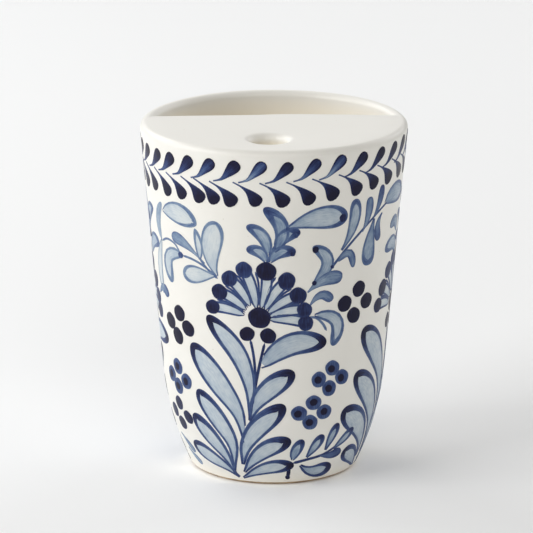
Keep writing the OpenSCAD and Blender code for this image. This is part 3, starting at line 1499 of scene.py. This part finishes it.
class Finish(Bench):
    """A material under construction."""

    def __init__(self, name: str, **values: object) -> None:
        """Starts a material.

        Args:
            name: Its name.
            values: Values of the shader's sockets, with _ for each space.
        """
        self.material = bpy.data.materials.new(name)
        self.material.use_nodes = True
        super().__init__(self.material.node_tree)
        self.shader = self.tree.nodes["Principled BSDF"]
        for socket, value in values.items():
            self.shader.inputs[socket.replace("_", " ")].default_value = value

    @cached_property
    def place(self) -> bpy.types.NodeSocket:
        """The piece's own coordinates."""
        return self.node("TexCoord").outputs["Object"]

    def shade(self, source: bpy.types.NodeSocket, socket: str) -> None:
        """Joins an output to one of the shader's sockets."""
        self.link(source, self.shader.inputs[socket])

    def noise(self, scale: float, detail: float = 2.0) -> bpy.types.Node:
        """Adds noise on the piece's own coordinates.

        Args:
            scale: How fine it is.
            detail: Number of finer layers in it.

        Returns:
            The noise.
        """
        made = self.node("TexNoise", {"Scale": scale, "Detail": detail})
        self.link(self.place, made.inputs["Vector"])
        return made

    def ramp(self, source: bpy.types.NodeSocket, stops: Sequence[tuple]) -> bpy.types.NodeSocket:
        """Colours a value with the given places and colours.

        Args:
            source: The value.
            stops: Pairs of a place and a colour.

        Returns:
            The colour.
        """
        made = self.node("ValToRGB")
        band = made.color_ramp
        while len(band.elements) < len(stops):
            band.elements.new(0.5)
        for element, (place, colour) in zip(band.elements, stops):
            element.position = place
            element.color = (*colour, 1.0)
        self.link(source, made.inputs["Fac"])
        return made.outputs["Color"]

    def cover(
        self, under: bpy.types.NodeSocket, colour: Colour, mask: bpy.types.NodeSocket,
    ) -> bpy.types.NodeSocket:
        """Lays a colour over another where a mask is 1.

        Args:
            under: The colour below.
            colour: The colour laid over it.
            mask: The mask.

        Returns:
            The mixed colour.
        """
        made = self.node("Mix", data_type="RGBA")
        made.inputs["B"].default_value = (*colour, 1.0)
        self.link(mask, made.inputs["Factor"])
        self.link(under, made.inputs["A"])
        return made.outputs["Result"]

    def bump(self, height: bpy.types.NodeSocket, strength: float, distance: float) -> None:
        """Roughens the surface by a height.

        Args:
            height: The height.
            strength: How strongly it shows.
            distance: Its depth in metres.
        """
        made = self.node("Bump", {"Strength": strength, "Distance": distance})
        self.link(height, made.inputs["Height"])
        self.shade(made.outputs["Normal"], "Normal")

    def skin(self, surface: bpy.types.NodeTree, strength: float) -> bpy.types.Node:
        """Lays the shared glaze surface: its roughness and its fine relief.

        Args:
            surface: The shared group.
            strength: How strongly its relief shows.

        Returns:
            The group's node.
        """
        made = self.node("Group", node_tree=surface)
        self.link(self.place, made.inputs["Place"])
        self.shade(made.outputs["Rough"], "Roughness")
        self.bump(made.outputs["Height"], strength, 0.0004)
        return made


def group_with(name: str, inputs: dict[str, float], outputs: Sequence[str]) -> bpy.types.NodeTree:
    """Makes an empty shader group.

    Args:
        name: The group's name.
        inputs: Number inputs and their defaults.
        outputs: Number outputs.

    Returns:
        The group, with its input and output nodes named In and Out.
    """
    group = bpy.data.node_groups.new(name, "ShaderNodeTree")
    group.interface.new_socket("Place", in_out="INPUT", socket_type="NodeSocketVector")
    for label, value in inputs.items():
        made = group.interface.new_socket(label, in_out="INPUT", socket_type="NodeSocketFloat")
        made.default_value = value
    for label in outputs:
        group.interface.new_socket(label, in_out="OUTPUT", socket_type="NodeSocketFloat")
    group.nodes.new("NodeGroupInput").name = "In"
    group.nodes.new("NodeGroupOutput").name = "Out"
    return group


def glaze_surface() -> bpy.types.NodeTree:
    """The skin of a dipped glaze: cloudy thickness, fine ripple, pinholes and specks.

    Returns:
        The shader group.
    """
    sizes = {"Cloud Size": 60.0, "Speck Size": 900.0}
    group = group_with("glaze_surface", sizes, ("Cloud", "Height", "Speck", "Rough"))
    bench = Bench(group)
    start, end = group.nodes["In"].outputs, group.nodes["Out"].inputs
    cloud = bench.node("TexNoise", {"Detail": 3.0, "Roughness": 0.5})
    ripple = bench.node("TexNoise", {"Scale": 260.0, "Detail": 2.0})
    cells = bench.node("TexVoronoi")
    for texture in (cloud, ripple, cells):
        bench.link(start["Place"], texture.inputs["Vector"])
    bench.link(start["Cloud Size"], cloud.inputs["Scale"])
    bench.link(start["Speck Size"], cells.inputs["Scale"])
    near = bench.node("MapRange", {"From Min": 0.20, "From Max": 0.08})
    bench.link(cells.outputs["Distance"], near.inputs["Value"])
    split = bench.node("SeparateColor")
    bench.link(cells.outputs["Color"], split.inputs["Color"])
    few = bench.node("MapRange", {"From Min": 0.991, "From Max": 0.996})
    bench.link(split.outputs["Red"], few.inputs["Value"])
    speck = bench.node("Math", operation="MULTIPLY")
    bench.link(near.outputs["Result"], speck.inputs[0])
    bench.link(few.outputs["Result"], speck.inputs[1])
    height = bench.node("Math", {1: -0.5}, operation="MULTIPLY_ADD")
    bench.link(speck.outputs["Value"], height.inputs[0])
    bench.link(ripple.outputs["Fac"], height.inputs[2])
    rough = bench.node("MapRange", {"From Min": 0.3, "From Max": 0.7, "To Min": 0.30, "To Max": 0.42})
    bench.link(cloud.outputs["Fac"], rough.inputs["Value"])
    bench.link(cloud.outputs["Fac"], end["Cloud"])
    bench.link(height.outputs["Value"], end["Height"])
    bench.link(speck.outputs["Value"], end["Speck"])
    bench.link(rough.outputs["Result"], end["Rough"])
    return group


@dataclass(frozen=True)
class MilkGlaze:
    """White tin glaze: milky, a little cloudy, with rare dark specks, and a creamier colour painted in
    as warm bounced light.
    """

    thin: Colour = (0.835, 0.818, 0.765)
    thick: Colour = (0.85, 0.835, 0.785)
    # Painted light: the creamier colour stands in for warm light bounced inside the cup and off the
    # floor.
    inside: Colour = (0.95, 0.885, 0.75)
    speck: Colour = (0.60, 0.55, 0.46)
    bump: float = 0.05

    def make(self, surface: bpy.types.NodeTree) -> bpy.types.Material:
        """Builds the material on the shared glaze surface.

        Args:
            surface: The shared glaze surface.

        Returns:
            The material.
        """
        finish = Finish("milk_glaze", IOR=1.5)
        skin = finish.skin(surface, self.bump).outputs
        painted_bounce = finish.node("Attribute", attribute_name="painted_bounce").outputs["Fac"]
        tint = finish.ramp(skin["Cloud"], ((0.32, self.thin), (0.62, self.thick)))
        # Lays the painted warm bounce light over the glaze, as much as each vert's share says.
        bounce_tinted = finish.cover(tint, self.inside, painted_bounce)
        finish.shade(finish.cover(bounce_tinted, self.speck, skin["Speck"]), "Base Color")
        return finish.material


@dataclass(frozen=True)
class CobaltPaint:
    """Cobalt pigment melted into the glaze: pale where thin, near black where thick.

    Attributes:
        stops: Colour for each load of pigment.
        streak: How strongly the brush's hairs vary the load.
        pool: How strongly it gathers in pools.
        bump: Strength of the relief.
    """

    stops: tuple[tuple[float, Colour], ...] = (
        (0.00, (0.62, 0.665, 0.68)),
        (0.18, (0.43, 0.505, 0.58)),
        (0.36, (0.205, 0.285, 0.405)),
        (0.52, (0.082, 0.132, 0.27)),
        (0.68, (0.036, 0.060, 0.17)),
        (0.82, (0.016, 0.022, 0.076)),
        (0.97, (0.010, 0.009, 0.030)),
    )
    streak: float = 0.34
    pool: float = 0.24
    bump: float = 0.10

    def make(self, surface: bpy.types.NodeTree) -> bpy.types.Material:
        """Builds the material on the shared glaze surface.

        Args:
            surface: The shared glaze surface.

        Returns:
            The material.
        """
        finish = Finish("cobalt_paint", IOR=1.5, Specular_IOR_Level=0.14)
        finish.skin(surface, self.bump)
        grain = finish.node("UVMap", uv_map="stroke")
        stretch = finish.node("Mapping", {"Scale": (2.4, 0.35, 1.0)})
        finish.link(grain.outputs["UV"], stretch.inputs["Vector"])
        hairs = finish.node("TexNoise", {"Scale": 1.0, "Detail": 2.0})
        finish.link(stretch.outputs["Vector"], hairs.inputs["Vector"])
        pools = finish.noise(420.0)
        load = finish.node("Attribute", attribute_name="pigment").outputs["Fac"]
        for source, amount in ((hairs, self.streak), (pools, self.pool)):
            centred = finish.node("Math", {1: 0.5}, operation="SUBTRACT")
            finish.link(source.outputs["Fac"], centred.inputs[0])
            added = finish.node("Math", {1: amount}, operation="MULTIPLY_ADD")
            finish.link(centred.outputs["Value"], added.inputs[0])
            finish.link(load, added.inputs[2])
            load = added.outputs["Value"]
        finish.shade(finish.ramp(load, self.stops), "Base Color")
        return finish.material


@dataclass(frozen=True)
class BareClay:
    """Fired clay left bare where the pot stood in the kiln."""

    light: Colour = (0.62, 0.47, 0.31)
    dark: Colour = (0.42, 0.29, 0.18)
    patch: float = 160.0
    grain: float = 1400.0
    bump: float = 0.5

    def make(self) -> bpy.types.Material:
        """Builds the material.

        Returns:
            The material.
        """
        finish = Finish("bare_clay", Roughness=0.85)
        patches = finish.noise(self.patch, 6.0)
        tint = finish.ramp(patches.outputs["Fac"], ((0.35, self.dark), (0.65, self.light)))
        finish.shade(tint, "Base Color")
        finish.bump(finish.noise(self.grain).outputs["Fac"], self.bump, 0.0003)
        return finish.material


# -------------------------------------------------------------- the studio


@dataclass(frozen=True)
class Softbox:
    """One square soft light."""

    name: str
    place: tuple[float, float, float]
    size: float
    power: float
    colour: Colour = (1.0, 1.0, 1.0)


@dataclass
class Studio:
    """A pale floor, soft light and the camera.

    Attributes:
        aim: The point that the camera and the lights face.
        distance: Distance of the camera from it.
        rise: The camera's angle over the floor, and turn its angle from the front.
        lens: Focal length in millimetres.
        floor_size: Width of the floor.
        ambient: Strength of the faint light from all round.
        softboxes: The lights.
    """

    aim: Vector
    distance: float = 1.30
    rise: float = math.radians(15.85)
    turn: float = math.radians(-1.0)
    lens: float = 270.0
    floor_size: float = 6.0
    ambient: float = 0.06
    softboxes: tuple[Softbox, ...] = (
        Softbox("left_front", (-0.95, -0.45, 0.7), 0.7, 7.4),
        Softbox("left", (-1.1, 0.1, 0.6), 0.8, 3.9),
        Softbox("left_back", (-0.8, 0.8, 0.8), 0.8, 6.2),
        Softbox("right_back", (0.9, 0.8, 0.7), 0.8, 5.2),
        Softbox("back", (0.0, 1.3, 0.7), 1.2, 3.7),
        Softbox("front", (0.2, -1.2, 0.9), 1.0, 6.3, (1.0, 0.975, 0.93)),
        Softbox("right", (1.1, 0.0, 0.6), 0.8, 2.2, (1.0, 0.985, 0.96)),
    )

    def floor(self) -> None:
        """Lays the floor."""
        mesh = bmesh.new()
        bmesh.ops.create_grid(mesh, x_segments=2, y_segments=2, size=self.floor_size / 2.0)
        data = bpy.data.meshes.new("floor")
        mesh.to_mesh(data)
        mesh.free()
        colour = (0.925, 0.93, 0.932, 1.0)
        finish = Finish("pale_floor", Base_Color=colour, Roughness=0.7, Specular_IOR_Level=0.2)
        data.materials.append(finish.material)
        floor = bpy.data.objects.new("floor", data)
        bpy.context.scene.collection.objects.link(floor)

    def hang(self, box: Softbox) -> None:
        """Hangs a softbox so that it faces the vase.

        Args:
            box: The softbox.
        """
        data = bpy.data.lights.new(box.name, "AREA")
        data.size = box.size
        data.energy = box.power
        data.color = box.colour
        lamp = bpy.data.objects.new(box.name, data)
        lamp.location = box.place
        lamp.rotation_euler = (self.aim - Vector(box.place)).to_track_quat("-Z", "Y").to_euler()
        bpy.context.scene.collection.objects.link(lamp)

    def light(self) -> None:
        """Sets the faint surroundings and hangs the softboxes."""
        world = bpy.data.worlds.new("surroundings")
        world.use_nodes = True
        shade = world.node_tree.nodes["Background"]
        shade.inputs["Color"].default_value = (1.0, 1.0, 1.0, 1.0)
        shade.inputs["Strength"].default_value = self.ambient
        bpy.context.scene.world = world
        for box in self.softboxes:
            self.hang(box)

    def camera(self) -> None:
        """Sets the camera on the vase."""
        data = bpy.data.cameras.new("camera")
        data.lens = self.lens
        data.sensor_width = 36.0
        data.clip_end = 20.0
        camera = bpy.data.objects.new("camera", data)
        level = math.cos(self.rise)
        away = Vector((math.sin(self.turn) * level, -math.cos(self.turn) * level, math.sin(self.rise)))
        camera.location = self.aim + away * self.distance
        camera.rotation_euler = away.to_track_quat("Z", "Y").to_euler()
        bpy.context.scene.collection.objects.link(camera)
        bpy.context.scene.camera = camera

    def build(self) -> None:
        """Sets up the whole studio."""
        self.floor()
        self.light()
        self.camera()
        bpy.context.scene.view_settings.view_transform = "Standard"


def main() -> None:
    """Builds the vase from the foot up, paints it and lights it."""
    logging.basicConfig(level=logging.INFO, format="%(name)s: %(message)s")
    low, high = (Vector(corner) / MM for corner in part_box("outer_glaze"))
    deck_low, deck_high = (Vector(corner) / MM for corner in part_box("deck_glaze"))
    hole = next(m for m in frame["record"]["mounts"] if m["name"] == "brush_hole")
    side = Silhouette(height=deck_high.z, rim_r=high.x)
    shop = Workshop(Hand(side.height, deck_high.y))

    skin = glaze_surface()
    glaze = MilkGlaze().make(skin)
    paint = CobaltPaint().make(skin)
    clay = BareClay().make()

    Foot(side).build(shop, clay)
    Pot(side).build(shop, glaze)
    Deck(
        side, reach=deck_high.y, thick=deck_high.z - deck_low.z,
        hole=(hole["pos_m"][0] / MM, hole["pos_m"][1] / MM), hole_r=hole["dims"]["r_mm"],
    ).build(shop, glaze)
    seam = frame["nodes"]["deck_seam"]
    seam.data.materials.clear()
    seam.data.materials.append(glaze)

    quarter = math.radians(90.0)
    front = math.radians(-1.0)
    garland_start = front - 0.045
    narrow = {"full": False, "shake": 0.3, "flower_drop": 2.4}
    Border(side, garland_start).build(shop, paint)
    bouquets = (
        Bouquet("front", side, front, seed=101),
        Bouquet("right", side, front + quarter * 1.01, rise=-1.5, seed=201, **narrow),
        Bouquet("back", side, front + quarter * 2.0, rise=0.4, shake=0.4, seed=301),
        Bouquet("left", side, front - quarter, rise=-0.5, seed=401, **narrow),
    )
    for bouquet in bouquets:
        bouquet.build(shop, paint)

    Studio(aim=Vector((-0.0024, 0.0, 0.0656))).build()


if __name__ == "__main__":
    main()
